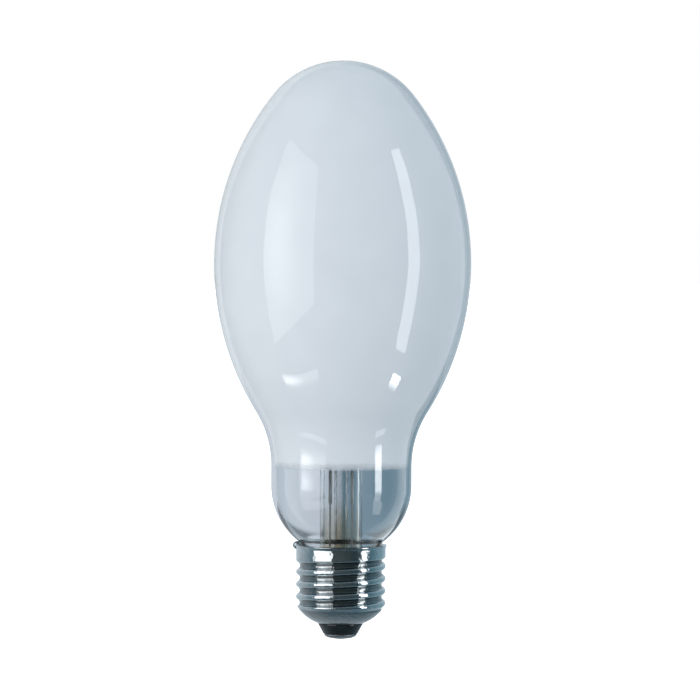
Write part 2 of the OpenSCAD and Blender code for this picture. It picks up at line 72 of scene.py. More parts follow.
def blown_outline(inset):
    """Radius and height down the envelope, from the dome to the seal, set in from its outer face.

    The dome is a circle about the axis, which touches the long circle of the crown. That circle is
    upright at the widest place, where the circle of the side goes on. A hollow circle leads from the side
    into the straight neck, a circle turns the neck in, and a fillet ends on the seal.
    """
    side_x = SIDE_RADIUS - BULB_RADIUS
    dome_z = BULB_LENGTH - DOME_RADIUS
    narrower = BULB_RADIUS - DOME_RADIUS
    crown_x = ((dome_z - WIDEST_Z) ** 2 - narrower**2) / (2 * narrower)
    dome_angle = np.arctan2(dome_z - WIDEST_Z, crown_x)
    hollow_x = NECK_RADIUS + HOLLOW_RADIUS
    hollow_drop = np.sqrt((SIDE_RADIUS + HOLLOW_RADIUS) ** 2 - (hollow_x + side_x) ** 2)
    hollow_angle = np.arctan2(hollow_drop, hollow_x + side_x)
    shoulder_x = NECK_RADIUS - SHOULDER_RADIUS
    fillet_x = SEAL_RADIUS + SEAL_FILLET
    fillet_drop = np.sqrt((SHOULDER_RADIUS + SEAL_FILLET) ** 2 - (fillet_x - shoulder_x) ** 2)
    fillet_angle = np.arctan2(fillet_drop, fillet_x - shoulder_x)
    return np.concatenate([
        arc(0, dome_z, DOME_RADIUS - inset, np.pi / 2, dome_angle, 34),
        arc(-crown_x, WIDEST_Z, BULB_RADIUS + crown_x - inset, dome_angle, 0, 34)[1:],
        arc(-side_x, WIDEST_Z, SIDE_RADIUS - inset, 0, -hollow_angle, 32)[1:],
        arc(hollow_x, WIDEST_Z - hollow_drop, HOLLOW_RADIUS + inset,
            np.pi - hollow_angle, np.pi, 20)[1:],
        arc(shoulder_x, SHOULDER_Z, SHOULDER_RADIUS - inset, 0, -fillet_angle, 30),
        arc(fillet_x, SHOULDER_Z - fillet_drop, SEAL_FILLET + inset, np.pi - fillet_angle, np.pi, 12)[1:],
        [[SEAL_RADIUS - inset, SEAL_Z]],
    ])


def skin(name, rings, first_pole=None, last_pole=None):
    """A closed mesh over rings of points, rings[i, j] being point j of ring i.

    Each point joins the next of its ring and the same of the next ring. Rings with no poles close from
    the last ring to the first, and a pole closes the end ring with a fan of triangles.
    """
    rows, columns = rings.shape[:2]
    looped = first_pole is None and last_pole is None
    i = np.arange(rows if looped else rows - 1)[:, None]
    j = np.arange(columns)[None, :]
    after = (j + 1) % columns
    below = (i + 1) % rows
    quads = np.stack([i * columns + j, below * columns + j,
                      below * columns + after, i * columns + after], -1)
    points = rings.reshape(-1, 3)
    fans = []
    for pole, row, turn in ((first_pole, 0, 1), (last_pole, rows - 1, -1)):
        if pole is None:
            continue
        rim = row * columns + np.arange(columns)
        fans.append(np.stack([np.full(columns, len(points)), rim, np.roll(rim, -1)][::turn], -1))
        points = np.concatenate([points, [pole]])
    corners = np.concatenate([quads.reshape(-1), *[fan.reshape(-1) for fan in fans]]).astype(np.int32)
    sizes = np.concatenate([np.full(quads.size // 4, 4), *[np.full(len(fan), 3) for fan in fans]])
    mesh = bpy.data.meshes.new(name)
    mesh.vertices.add(len(points))
    mesh.vertices.foreach_set("co", points.reshape(-1).astype(np.float32))
    mesh.loops.add(len(corners))
    mesh.loops.foreach_set("vertex_index", corners)
    mesh.polygons.add(len(sizes))
    mesh.polygons.foreach_set("loop_start", np.concatenate([[0], np.cumsum(sizes)[:-1]]).astype(np.int32))
    mesh.update(calc_edges=True)
    mesh.shade_smooth()
    piece = bpy.data.objects.new(name, mesh)
    bpy.context.collection.objects.link(piece)
    return piece


def turned(name, outline, steps):
    """A surface of revolution: the outline's (radius, height) points carried round the Z axis.

    An outline that starts or ends on the axis is closed there by a pole, and one that never meets the
    axis closes on itself.
    """
    outline = np.asarray(outline, float)
    poles = [None, None]
    if outline[0, 0] < 1e-9:
        poles[0] = (0, 0, outline[0, 1])
        outline = outline[1:]
    if outline[-1, 0] < 1e-9:
        poles[1] = (0, 0, outline[-1, 1])
        outline = outline[:-1]
    angle = np.linspace(0, 2 * np.pi, steps, endpoint=False)
    radius, height = outline[:, :1], outline[:, 1:]
    rings = np.stack([radius * np.cos(angle), radius * np.sin(angle), height + 0 * angle], axis=-1)
    return skin(name, rings, *poles)


def workbench(tree):
    """Two helpers for a node tree: one adds a node with its settings, and the other joins two sockets."""

    def node(kind, **settings):
        made = tree.nodes.new("ShaderNode" + kind)
        for key, value in settings.items():
            setattr(made, key, value)
        return made

    def link(source, target):
        tree.links.new(source, target)

    return node, link


def finish_with(name):
    """A new material with its Principled shader, and the two helpers that build its pattern."""
    material = bpy.data.materials.new(name)
    material.use_nodes = True
    return material, material.node_tree.nodes["Principled BSDF"], *workbench(material.node_tree)


def grain_group():
    """Fine uneven grain: two sizes of noise, mixed, then spread between two values.

    Inputs: Position, Size (grains in a metre), Low and High. Outputs: Value between Low and High, and
    Height between 0 and 1 for a bump.
    """
    group = bpy.data.node_groups.new("SurfaceGrain", "ShaderNodeTree")
    ports = group.interface
    ports.new_socket("Position", in_out="INPUT", socket_type="NodeSocketVector")
    for label, value in (("Size", 400.0), ("Low", 0.0), ("High", 1.0)):
        ports.new_socket(label, in_out="INPUT", socket_type="NodeSocketFloat").default_value = value
    ports.new_socket("Value", in_out="OUTPUT", socket_type="NodeSocketFloat")
    ports.new_socket("Height", in_out="OUTPUT", socket_type="NodeSocketFloat")
    nodes, links = group.nodes, group.links
    entry, leave = nodes.new("NodeGroupInput"), nodes.new("NodeGroupOutput")
    coarse, fine = nodes.new("ShaderNodeTexNoise"), nodes.new("ShaderNodeTexNoise")
    fine.inputs["Detail"].default_value = 6
    coarse.inputs["Detail"].default_value = 3
    fine_size = nodes.new("ShaderNodeMath")
    fine_size.operation = "MULTIPLY"
    fine_size.inputs[1].default_value = 5.3
    links.new(entry.outputs["Size"], fine_size.inputs[0])
    links.new(entry.outputs["Size"], coarse.inputs["Scale"])
    links.new(fine_size.outputs[0], fine.inputs["Scale"])
    both = nodes.new("ShaderNodeMath")
    both.operation = "MULTIPLY_ADD"
    both.inputs[1].default_value = 0.45
    weight = nodes.new("ShaderNodeMath")
    weight.operation = "MULTIPLY"
    weight.inputs[1].default_value = 0.55
    for noise in (coarse, fine):
        links.new(entry.outputs["Position"], noise.inputs["Vector"])
    links.new(coarse.outputs["Fac"], weight.inputs[0])
    links.new(fine.outputs["Fac"], both.inputs[0])
    links.new(weight.outputs[0], both.inputs[2])
    spread = nodes.new("ShaderNodeMapRange")
    spread.inputs["From Min"].default_value = 0.33
    spread.inputs["From Max"].default_value = 0.67
    links.new(both.outputs[0], spread.inputs["Value"])
    links.new(entry.outputs["Low"], spread.inputs["To Min"])
    links.new(entry.outputs["High"], spread.inputs["To Max"])
    links.new(spread.outputs["Result"], leave.inputs["Value"])
    links.new(both.outputs[0], leave.inputs["Height"])
    return group


GRAIN = grain_group()


def grain(node, link, size, low, high, stretch=(1, 1, 1)):
    """The grain group placed in a material on Object coordinates, drawn out by stretch."""
    place = node("TexCoord")
    mapping = node("Mapping")
    mapping.inputs["Scale"].default_value = stretch
    link(place.outputs["Object"], mapping.inputs["Vector"])
    placed = node("Group", node_tree=GRAIN)
    placed.inputs["Size"].default_value = size
    placed.inputs["Low"].default_value = low
    placed.inputs["High"].default_value = high
    link(mapping.outputs["Vector"], placed.inputs["Position"])
    return placed


def bump(node, link, shader, height, distance, strength=1.0):
    """A bump of the given depth in metres on the shader's normal."""
    made = node("Bump")
    made.inputs["Distance"].default_value = distance
    made.inputs["Strength"].default_value = strength
    link(height, made.inputs["Height"])
    link(made.outputs["Normal"], shader.inputs["Normal"])


def let_light_in(material, shader, node, link, tint):
    """Lets shadow and scattered rays pass the glass, so that what lies inside is lit evenly."""
    path = node("LightPath")
    either = node("Math", operation="MAXIMUM")
    clear = node("BsdfTransparent")
    clear.inputs["Color"].default_value = (*tint, 1)
    mix = node("MixShader")
    link(path.outputs["Is Shadow Ray"], either.inputs[0])
    link(path.outputs["Is Diffuse Ray"], either.inputs[1])
    link(either.outputs[0], mix.inputs["Fac"])
    link(shader.outputs["BSDF"], mix.inputs[1])
    link(clear.outputs["BSDF"], mix.inputs[2])
    link(mix.outputs["Shader"], material.node_tree.nodes["Material Output"].inputs["Surface"])


def bulb_glass():
    """Clear blown glass with the faint long waves of the mould and a trace of haze."""
    material, shader, node, link = finish_with("BlownGlass")
    shader.inputs["Base Color"].default_value = (0.965, 0.985, 0.99, 1)
    shader.inputs["Transmission Weight"].default_value = 1
    shader.inputs["IOR"].default_value = 1.5
    haze = grain(node, link, 160, 0.0, 0.02)
    link(haze.outputs["Value"], shader.inputs["Roughness"])
    place = node("TexCoord")
    wave = node("TexNoise")
    wave.inputs["Scale"].default_value = 26
    wave.inputs["Detail"].default_value = 0.5
    link(place.outputs["Object"], wave.inputs["Vector"])
    bump(node, link, shader, wave.outputs["Fac"], 0.25 * MM, 0.3)
    let_light_in(material, shader, node, link, (0.95, 0.965, 0.975))
    return material


outer_bulb = turned(
    "BlownBulb", np.concatenate([blown_outline(0), blown_outline(GLASS_WALL)[::-1]]), BULB_STEPS)
outer_bulb.data.materials.append(bulb_glass())
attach(outer_bulb, "root")
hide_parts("outer_bulb")


# Diffusing coat
# Fine white powder is washed or blown onto the inside of the bulb and baked, and its lower edge is wiped
# off above the neck, so it ends in a soft uneven line.

COAT_GAP = 0.03 * MM
COAT_THICKNESS = 0.06 * MM
COAT_EDGE_Z = 49.3 * MM
COAT_FADE = 3.2 * MM
COAT_CLEAR_Z = COAT_EDGE_Z - COAT_FADE + 0.3 * MM
COAT_RAGGED = 0.35 * MM
COAT_SLANT = 0.045


def coat_outline(inset):
    """The bulb's outline set in by inset, cut off below the faded edge of the coat."""
    outline = blown_outline(inset)
    return outline[outline[:, 1] > COAT_EDGE_Z - COAT_FADE]


def toned(node, link, mask, stops):
    """A colour that runs with the mask through the tones of its stops, each given with its place."""
    made = node("ValToRGB")
    elements = made.color_ramp.elements
    for element, (place, tone) in zip(elements, (stops[0], stops[-1]), strict=True):
        element.position, element.color = place, (*tone, 1)
    for place, tone in stops[1:-1]:
        elements.new(place).color = (*tone, 1)
    link(mask, made.inputs["Fac"])
    return made.outputs["Color"]


def ramp(node, link, source, low, high, start=0, end=1, kind="SMOOTHSTEP"):
    """A value that goes from start, where the source is low, to end, where it is high, and stays there."""
    made = node("MapRange", interpolation_type=kind)
    for label, value in (("From Min", low), ("From Max", high), ("To Min", start), ("To Max", end)):
        made.inputs[label].default_value = value
    link(source, made.inputs["Value"])
    return made.outputs["Result"]


def powder():
    """Matt white powder, slightly blue, with soft patches of thickness and a fading lower edge."""
    material, shader, node, link = finish_with("WhitePowder")
    patches = grain(node, link, 22, 0, 1)
    tone = toned(node, link, patches.outputs["Value"], [(0, (0.74, 0.76, 0.785)), (1, (0.79, 0.81, 0.83))])
    link(tone, shader.inputs["Base Color"])
    fine = grain(node, link, 900, 0.86, 1.0)
    link(fine.outputs["Value"], shader.inputs["Roughness"])
    shader.inputs["Specular IOR Level"].default_value = 0.15
    bump(node, link, shader, fine.outputs["Height"], 0.02 * MM, 0.5)
    place = node("TexCoord")
    split = node("SeparateXYZ")
    link(place.outputs["Object"], split.inputs["Vector"])
    ragged = grain(node, link, 260, -COAT_RAGGED, COAT_RAGGED)
    slanting = node("Math", operation="MULTIPLY_ADD")
    slanting.inputs[1].default_value = COAT_SLANT
    link(split.outputs["Y"], slanting.inputs[0])
    link(split.outputs["Z"], slanting.inputs[2])
    shifted = node("Math", operation="ADD")
    link(slanting.outputs[0], shifted.inputs[0])
    link(ragged.outputs["Value"], shifted.inputs[1])
    thinning = node("Math", operation="POWER")
    thinning.inputs[1].default_value = 3
    link(ramp(node, link, shifted.outputs[0], COAT_CLEAR_Z, COAT_EDGE_Z + COAT_FADE), thinning.inputs[0])
    link(thinning.outputs[0], shader.inputs["Alpha"])
    return material


coat = turned(
    "PowderCoat",
    np.concatenate([coat_outline(GLASS_WALL + COAT_GAP),
                    coat_outline(GLASS_WALL + COAT_GAP + COAT_THICKNESS)[::-1]]), BULB_STEPS)
coat.data.materials.append(powder())
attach(coat, "root")
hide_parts("diffusing_coat")


# Stem
# A tube of lead glass, flared at its foot where it is sealed to the neck. Its top was closed while hot
# round the two lead wires, and is squeezed a little flat.

STEM_RADIUS = 6.25 * MM
STEM_WALL = 1.2 * MM
STEM_TOP = 54.2 * MM
STEM_EDGE = 1.4 * MM
BORE_TOP = 52.9 * MM
BORE_DOME = 2.4 * MM
SQUEEZE_LOW = 34 * MM
SQUEEZE = 0.3
BROWN_LOW = 30 * MM
BROWN_HIGH = 41 * MM


def ease(t):
    """A smooth step: 3 t squared minus 2 t cubed, held at 0 below and 1 above."""
    t = np.clip(t, 0, 1)
    return t * t * (3 - 2 * t)


def squeezed(piece):
    """Flattens a turned piece in Y: y shrinks smoothly with height, by the share SQUEEZE at the top."""
    mesh = piece.data
    points = np.empty(len(mesh.vertices) * 3, np.float32)
    mesh.vertices.foreach_get("co", points)
    points = points.reshape(-1, 3)
    points[:, 1] *= 1 - SQUEEZE * ease((points[:, 2] - SQUEEZE_LOW) / (STEM_TOP - SQUEEZE_LOW))
    mesh.vertices.foreach_set("co", points.reshape(-1))
    mesh.update()
    return piece


def stem_outline():
    """Radius and height from the middle of the closed top down the outer face, round the flare, and up
    the bore to its flat dome."""
    turn_x = SEAL_RADIUS - GLASS_WALL
    turn_z = SEAL_Z + turn_x - STEM_RADIUS
    bore = STEM_RADIUS - STEM_WALL
    dome = arc(0, 0, 1, 0, np.pi / 2, 16)
    return np.concatenate([
        [[0, STEM_TOP]],
        arc(STEM_RADIUS - STEM_EDGE, STEM_TOP - STEM_EDGE, STEM_EDGE, np.pi / 2, 0, 12),
        np.stack([np.full(40, STEM_RADIUS), np.linspace(STEM_TOP - STEM_EDGE, turn_z, 41)[1:]], axis=1),
        arc(turn_x, turn_z, turn_x - STEM_RADIUS, np.pi, 1.5 * np.pi, 14)[1:],
        [[SEAL_RADIUS, SEAL_Z], [SEAL_RADIUS, SEAL_Z - STEM_WALL]],
        arc(turn_x, turn_z, turn_x - bore, 1.5 * np.pi, np.pi, 14),
        np.stack([np.full(40, bore), np.linspace(turn_z, BORE_TOP - BORE_DOME, 41)[1:]], axis=1)[:-1],
        np.stack([bore * dome[:, 0], BORE_TOP - BORE_DOME + BORE_DOME * dome[:, 1]], axis=1)[:-1],
        [[0, BORE_TOP]],
    ])


def stem_glass():
    """Clear lead glass, a little greyer than the bulb and browned by heat lower down, with drawn streaks
    along the tube."""
    material, shader, node, link = finish_with("StemGlass")
    place = node("TexCoord")
    split = node("SeparateXYZ")
    link(place.outputs["Object"], split.inputs["Vector"])
    height = ramp(node, link, split.outputs["Z"], BROWN_LOW, BROWN_HIGH, kind="LINEAR")
    tone = toned(node, link, height, [(0, (0.80, 0.77, 0.70)), (1, (0.955, 0.97, 0.975))])
    link(tone, shader.inputs["Base Color"])
    shader.inputs["Transmission Weight"].default_value = 1
    shader.inputs["IOR"].default_value = 1.52
    streak = grain(node, link, 600, 0.0, 0.05, (1, 1, 0.03))
    link(streak.outputs["Value"], shader.inputs["Roughness"])
    bump(node, link, shader, streak.outputs["Height"], 0.06 * MM, 0.6)
    let_light_in(material, shader, node, link, (0.93, 0.95, 0.96))
    return material


STEM_GLASS = stem_glass()
stem = squeezed(turned("FlaredStem", stem_outline(), 96))
stem.data.materials.append(STEM_GLASS)
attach(stem, "root")
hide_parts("stem")


# Exhaust tube
# The thin tube through which the bulb was pumped. It hangs in the stem from the closed top, and its tip
# was melted shut inside the cap.

EXHAUST_RADIUS = 2 * MM
EXHAUST_WALL = 0.6 * MM
EXHAUST_TIP = 13.5 * MM
EXHAUST_TOP = BORE_TOP - 0.5 * MM
MELTED_DROP = 0.8 * MM
MELTED_SHARE = 0.92

exhaust_shoulder = EXHAUST_TIP + 2 * EXHAUST_RADIUS
exhaust_heights = np.linspace(exhaust_shoulder + EXHAUST_WALL, EXHAUST_TOP, 40)[:, None]
exhaust_tube = squeezed(turned("ExhaustTube", np.concatenate([
    [[0, exhaust_shoulder]],
    np.hstack([0 * exhaust_heights + EXHAUST_RADIUS - EXHAUST_WALL, exhaust_heights]),
    np.hstack([0 * exhaust_heights + EXHAUST_RADIUS, exhaust_heights])[::-1],
    [[EXHAUST_RADIUS * MELTED_SHARE, exhaust_shoulder - MELTED_DROP]],
    arc(0, EXHAUST_TIP + EXHAUST_WALL, EXHAUST_WALL, -np.pi / 6, -np.pi / 2, 8)[:-1],
    [[0, EXHAUST_TIP]],
]), 64))
exhaust_tube.data.materials.append(STEM_GLASS)
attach(exhaust_tube, "root")
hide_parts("exhaust_tube")


# Lead wires
# Two dark wires sealed through the stem's top, each welded below to a thin tail. The left tail runs out
# over the rim of the cap, and the right one runs down into the eyelet of the contact.

LEAD_X = 3.25 * MM
LEAD_RADIUS = 0.5 * MM
LEAD_TOP = 54.8 * MM
TAIL_RADIUS = 0.25 * MM
TAIL_WELD = 39.7 * MM
TAIL_BEND = 1 * MM
CEMENT_TOP = 27.1 * MM
RIM_Z = 27.7 * MM
INSULATOR_TOP = 8.3 * MM
WELD_STEP = 0.4 * MM
TAIL_CLEARANCE = 0.3 * MM
RIM_BEND_DEPTH = 1.4 * MM
RIM_REACH = 0.75 * MM
RIM_RISE = 0.1 * MM
EXHAUST_CLEARANCE = 1 * MM
EYELET_RISE = 0.6 * MM
EYELET_Z = 1.62 * MM

tail_x = SEAL_RADIUS + TAIL_CLEARANCE
tail_z = SEAL_Z - STEM_WALL - TAIL_BEND
LEAD_PATHS = {
    "lead_wire_left": [
        (-LEAD_X, LEAD_TOP), (-LEAD_X, TAIL_WELD), (-LEAD_X, TAIL_WELD - WELD_STEP), (-LEAD_X, tail_z),
        (-tail_x, tail_z), (-tail_x, CEMENT_TOP - RIM_BEND_DEPTH), (-tail_x - RIM_REACH, RIM_Z + RIM_RISE)],
    "lead_wire_right": [
        (LEAD_X, LEAD_TOP), (LEAD_X, TAIL_WELD), (LEAD_X, TAIL_WELD - WELD_STEP),
        (LEAD_X, EXHAUST_TIP - EXHAUST_CLEARANCE), (0, INSULATOR_TOP + EYELET_RISE), (0, EYELET_Z)],
}


def rounded(path, bend_radius, steps=8):
    """A path in the XZ plane with each corner replaced by an arc of the bend radius that touches both
    of its lengths."""
    path = np.asarray(path, float)
    points = [path[0]]
    for before, corner, after in zip(path[:-2], path[1:-1], path[2:], strict=True):
        into = (corner - before) / np.linalg.norm(corner - before)
        out = (after - corner) / np.linalg.norm(after - corner)
        turn = np.arccos(np.clip(into @ out, -1, 1))
        start = corner - into * bend_radius * np.tan(turn / 2)
        sweep = np.linspace(0, turn, steps)
        across = (out - into * (into @ out)) / np.sin(turn)
        bow = np.sin(sweep)[:, None] * into + (1 - np.cos(sweep))[:, None] * across
        points.extend(start + bend_radius * bow)
    points.append(path[-1])
    return np.array(points)


def drawn_wire(path, radius, sides=20):
    """Rings of a round wire along a path in the XZ plane: at each point, a circle of that point's radius
    across the path's own direction."""
    along = np.gradient(path, axis=0)
    along /= np.linalg.norm(along, axis=1, keepdims=True)
    angle = np.linspace(0, 2 * np.pi, sides, endpoint=False)
    across = np.stack([-along[:, 1], 0 * along[:, 0], along[:, 0]], axis=1)
    centre = np.stack([path[:, 0], 0 * path[:, 0], path[:, 1]], axis=1)
    return centre[:, None] + radius[:, None, None] * (
        np.cos(angle)[:, None] * across[:, None] + np.sin(angle)[:, None] * np.array([0, 1.0, 0]))


def wire_metal():
    """Drawn wire: metal streaked along its length between two tones."""
    material, shader, node, link = finish_with("LeadWire")
    shader.inputs["Metallic"].default_value = 0.7
    streak = grain(node, link, 1500, 0, 1, (1, 1, 0.08))
    tone = toned(node, link, streak.outputs["Value"], [(0, (0.30, 0.30, 0.29)), (1, (0.55, 0.55, 0.54))])
    link(tone, shader.inputs["Base Color"])
    rough = grain(node, link, 900, 0.28, 0.5)
    link(rough.outputs["Value"], shader.inputs["Roughness"])
    bump(node, link, shader, streak.outputs["Height"], 0.01 * MM)
    return material


def bent(path):
    """The wire's path, with the two points of its weld kept and its bends below rounded."""
    path = np.asarray(path, float)
    return np.concatenate([path[:3], rounded(path[2:], TAIL_BEND)[1:]])


LEAD_METAL = wire_metal()
for lead_name, lead_path in LEAD_PATHS.items():
    lead_path = bent(lead_path)
    lead_radius = np.where(np.arange(len(lead_path)) < 2, LEAD_RADIUS, TAIL_RADIUS)
    lead = skin(
        "Lead_" + lead_name.rsplit("_", 1)[1], drawn_wire(lead_path, lead_radius),
        (lead_path[0, 0], 0, lead_path[0, 1]), (lead_path[-1, 0], 0, lead_path[-1, 1]))
    lead.data.materials.append(LEAD_METAL)
    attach(lead, "root")
    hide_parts(lead_name)


# Frame inside the bulb
# A plated rod welded to the left lead wire, two strips that hold the arc tube, the spring that braces the
# rod in the dome, and the soft strap. What the coat and the cap hide keeps its mesh from the frame.


def fill(node_name, material):
    """Gives every material slot of a node of the frame the same finish."""
    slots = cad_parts[node_name].data.materials
    for index in range(len(slots)):
        slots[index] = material
    if not len(slots):
        slots.append(material)


def dull_metal(name, dark, light, low, high, size=500, depth=0.03):
    """A dull metal: patchy between two tones, with uneven roughness and a shallow bump in millimetres."""
    material, shader, node, link = finish_with(name)
    shader.inputs["Metallic"].default_value = 1
    patches = grain(node, link, size, 0, 1)
    link(toned(node, link, patches.outputs["Value"], [(0, dark), (1, light)]), shader.inputs["Base Color"])
    rough = grain(node, link, size * 1.7, low, high)
    link(rough.outputs["Value"], shader.inputs["Roughness"])
    bump(node, link, shader, patches.outputs["Height"], depth * MM)
    return material


FRAME_METAL = dull_metal("PlatedFrame", (0.42, 0.43, 0.44), (0.66, 0.66, 0.65), 0.2, 0.4)
for frame_node in ("frame_rod", "lower_bracket", "upper_crossbar", "dome_spring", "expansion_strap"):
    fill(frame_node, FRAME_METAL)


# Arc tube
# A tube of sintered alumina, which holds the sodium and stands the heat, with a plug of the same at each
# end, sintered in place.


def alumina():
    """Sintered alumina: milky white, half glossy, with fine grain."""
    material, shader, node, link = finish_with("SinteredAlumina")
    patches = grain(node, link, 800, 0, 1)
    tone = toned(node, link, patches.outputs["Value"], [(0, (0.80, 0.80, 0.76)), (1, (0.92, 0.92, 0.89))])
    link(tone, shader.inputs["Base Color"])
    rough = grain(node, link, 1400, 0.3, 0.5)
    link(rough.outputs["Value"], shader.inputs["Roughness"])
    bump(node, link, shader, patches.outputs["Height"], 0.02 * MM)
    return material


ALUMINA = alumina()
for tube_node in ("arc_tube", "end_plug_lower", "end_plug_upper"):
    fill(tube_node, ALUMINA)


# Ends of the arc tube
# A niobium tube passes each plug, sealed there by a ring of fused glass. It carries a tungsten rod with a
# coil wound on its tip.


def sealing_glass():
    """Fused sealing glass, tan and glossy, with bubbles."""
    material, shader, node, link = finish_with("SealingGlass")
    patches = grain(node, link, 1300, 0, 1)
    tone = toned(node, link, patches.outputs["Value"], [(0, (0.36, 0.3, 0.2)), (1, (0.62, 0.55, 0.42))])
    link(tone, shader.inputs["Base Color"])
    rough = grain(node, link, 900, 0.15, 0.35)
    link(rough.outputs["Value"], shader.inputs["Roughness"])
    bump(node, link, shader, patches.outputs["Height"], 0.03 * MM)
    return material


FRIT = sealing_glass()
NIOBIUM = dull_metal("NiobiumTube", (0.26, 0.25, 0.24), (0.42, 0.41, 0.39), 0.3, 0.5)
TUNGSTEN = dull_metal("Tungsten", (0.1, 0.1, 0.1), (0.22, 0.22, 0.23), 0.35, 0.55, 1200)
for end in ("lower", "upper"):
    fill("niobium_tube_" + end, NIOBIUM)
    fill("seal_frit_" + end, FRIT)
    fill("electrode_" + end, TUNGSTEN)


# Getter
# A small ring of channelled sheet, pressed full of getter, on a wire welded to the rod. It was fired once
# the bulb was sealed, and binds what gas is left.

fill("getter_ring", dull_metal("GetterChannel", (0.12, 0.12, 0.13), (0.3, 0.3, 0.31), 0.4, 0.7))
fill("getter_holder", FRAME_METAL)


# Screw shell
# Thin sheet, drawn to a cup, rolled with the rounded Edison thread and nickel-plated. Its rim is flared
# over the shoulder of the glass, and its lower cone is turned in to the lip that holds the insulator.

CREST_RADIUS = 13.15 * MM
ROOT_RADIUS = 12.05 * MM
THREAD_PITCH = 3.629 * MM
CREST_Z = 14.3 * MM
THREAD_TOP = 24.4 * MM
THREAD_FADE = 1.4 * MM
RIM_FLARE = 0.35 * MM
RIM_HEIGHT = 1 * MM
SHEET = 0.35 * MM
CONE_RADIUS = 12.3 * MM
CONE_X = 2.5 * MM
LIP_RADIUS = 6.85 * MM
LIP_Z = 4.8 * MM
# Painted shade: the shell's colour darkens from this depth above the roots, and is full again at this depth
# below the crests.
ROOT_SHADE_DEPTH = 0.1 * MM
CREST_SHADE_END = 0.25 * MM


def thread_radius(angle, height):
    """The rounded thread: equal circles on the crests and in the roots that touch half way.

    The crest climbs one pitch in a turn, and d is the height above or below the nearest crest.
    """
    half_depth = (CREST_RADIUS - ROOT_RADIUS) / 2
    quarter = THREAD_PITCH / 4
    circle = (half_depth**2 + quarter**2) / (2 * half_depth)
    turn = (height - CREST_Z) / THREAD_PITCH - angle / (2 * np.pi)
    d = np.abs(turn - np.round(turn)) * THREAD_PITCH
    crest = CREST_RADIUS - circle + np.sqrt(np.maximum(circle**2 - d**2, 0))
    root = ROOT_RADIUS + circle - np.sqrt(np.maximum(circle**2 - (2 * quarter - d) ** 2, 0))
    return np.where(d < quarter, crest, root)


def shell_radius(angle, height):
    """The collar with its flared rim above, the thread below, blended where the groove runs out."""
    flare = RIM_FLARE * ease((height - RIM_Z + RIM_HEIGHT) / RIM_HEIGHT)
    depth = (CREST_RADIUS - thread_radius(angle, height)) * ease((THREAD_TOP - height) / THREAD_FADE)
    return CREST_RADIUS + flare - depth


def shell_face(inset, thread_rows, cone_rows, steps):
    """One face of the rolled sheet from the rim to the lip, set in by inset across the sheet.

    Above the cone the rows are level and the inset is radial. On the cone the rows follow its circle, the
    inset is along that circle's radius, and the thread is cut off where the cone is narrower.
    """
    angle = np.linspace(0, 2 * np.pi, steps, endpoint=False)[None, :]
    cone_z = LIP_Z + np.sqrt(CONE_RADIUS**2 - (LIP_RADIUS - CONE_X) ** 2)
    first = np.arccos((CREST_RADIUS - CONE_X) / CONE_RADIUS)
    last = np.arccos((LIP_RADIUS - CONE_X) / CONE_RADIUS)
    height = np.linspace(RIM_Z, cone_z - CONE_RADIUS * np.sin(first), thread_rows)[:, None]
    radius = shell_radius(angle, height) - inset
    slope = np.linspace(first, last, cone_rows)[1:, None]
    cone_height = cone_z - CONE_RADIUS * np.sin(slope)
    cone = np.minimum(CONE_X + CONE_RADIUS * np.cos(slope), shell_radius(angle, cone_height))
    radius = np.concatenate([radius, cone - inset * np.cos(slope)])
    height = np.concatenate([height, cone_height + inset * np.sin(slope)])
    return np.stack([radius * np.cos(angle), radius * np.sin(angle), height + 0 * angle], axis=-1)


def nickel_plate():
    """Nickel plate on rolled sheet: fine lines round the shell, smudges and small dents. Painted shade
    darkens the colour down in the roots of the thread."""
    material, shader, node, link = finish_with("NickelPlate")
    shader.inputs["Metallic"].default_value = 1
    smudge = grain(node, link, 190, 0, 1)
    tone = toned(node, link, smudge.outputs["Value"], [(0, (0.52, 0.57, 0.59)), (1, (0.72, 0.76, 0.77))])
    place = node("TexCoord")
    level = node("VectorMath", operation="MULTIPLY")
    level.inputs[1].default_value = (1, 1, 0)
    radius = node("VectorMath", operation="LENGTH")
    shaded_tone = node("VectorMath", operation="SCALE")
    link(place.outputs["Object"], level.inputs[0])
    link(level.outputs["Vector"], radius.inputs[0])
    # Painted shade: the base colour darkens towards the roots of the thread, where shade falls between the
    # crests.
    root_shade = ramp(node, link, radius.outputs["Value"], ROOT_RADIUS + ROOT_SHADE_DEPTH, CREST_RADIUS - CREST_SHADE_END,
                 0.44, 1)
    link(tone, shaded_tone.inputs[0])
    link(root_shade, shaded_tone.inputs["Scale"])
    link(shaded_tone.outputs["Vector"], shader.inputs["Base Color"])
    rolled = grain(node, link, 300, 0.05, 0.17, (1, 1, 9))
    link(rolled.outputs["Value"], shader.inputs["Roughness"])
    dents = node("TexNoise")
    dents.inputs["Scale"].default_value = 1000
    dents.inputs["Detail"].default_value = 1.2
    link(place.outputs["Object"], dents.inputs["Vector"])
    bump(node, link, shader, dents.outputs["Fac"], 0.085 * MM)
    return material


screw_shell = skin("ScrewShell", np.concatenate([
    shell_face(0, 220, 40, 250), shell_face(SHEET, 76, 16, 250)[::-1]]))
screw_shell.data.materials.append(nickel_plate())
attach(screw_shell, "root")
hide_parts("screw_shell")


# Insulator
# Black glass, melted and pressed into the lip of the shell. It holds the contact, and keeps it apart from
# the shell. The insulator and the pieces in the sections after it keep their meshes from the frame.


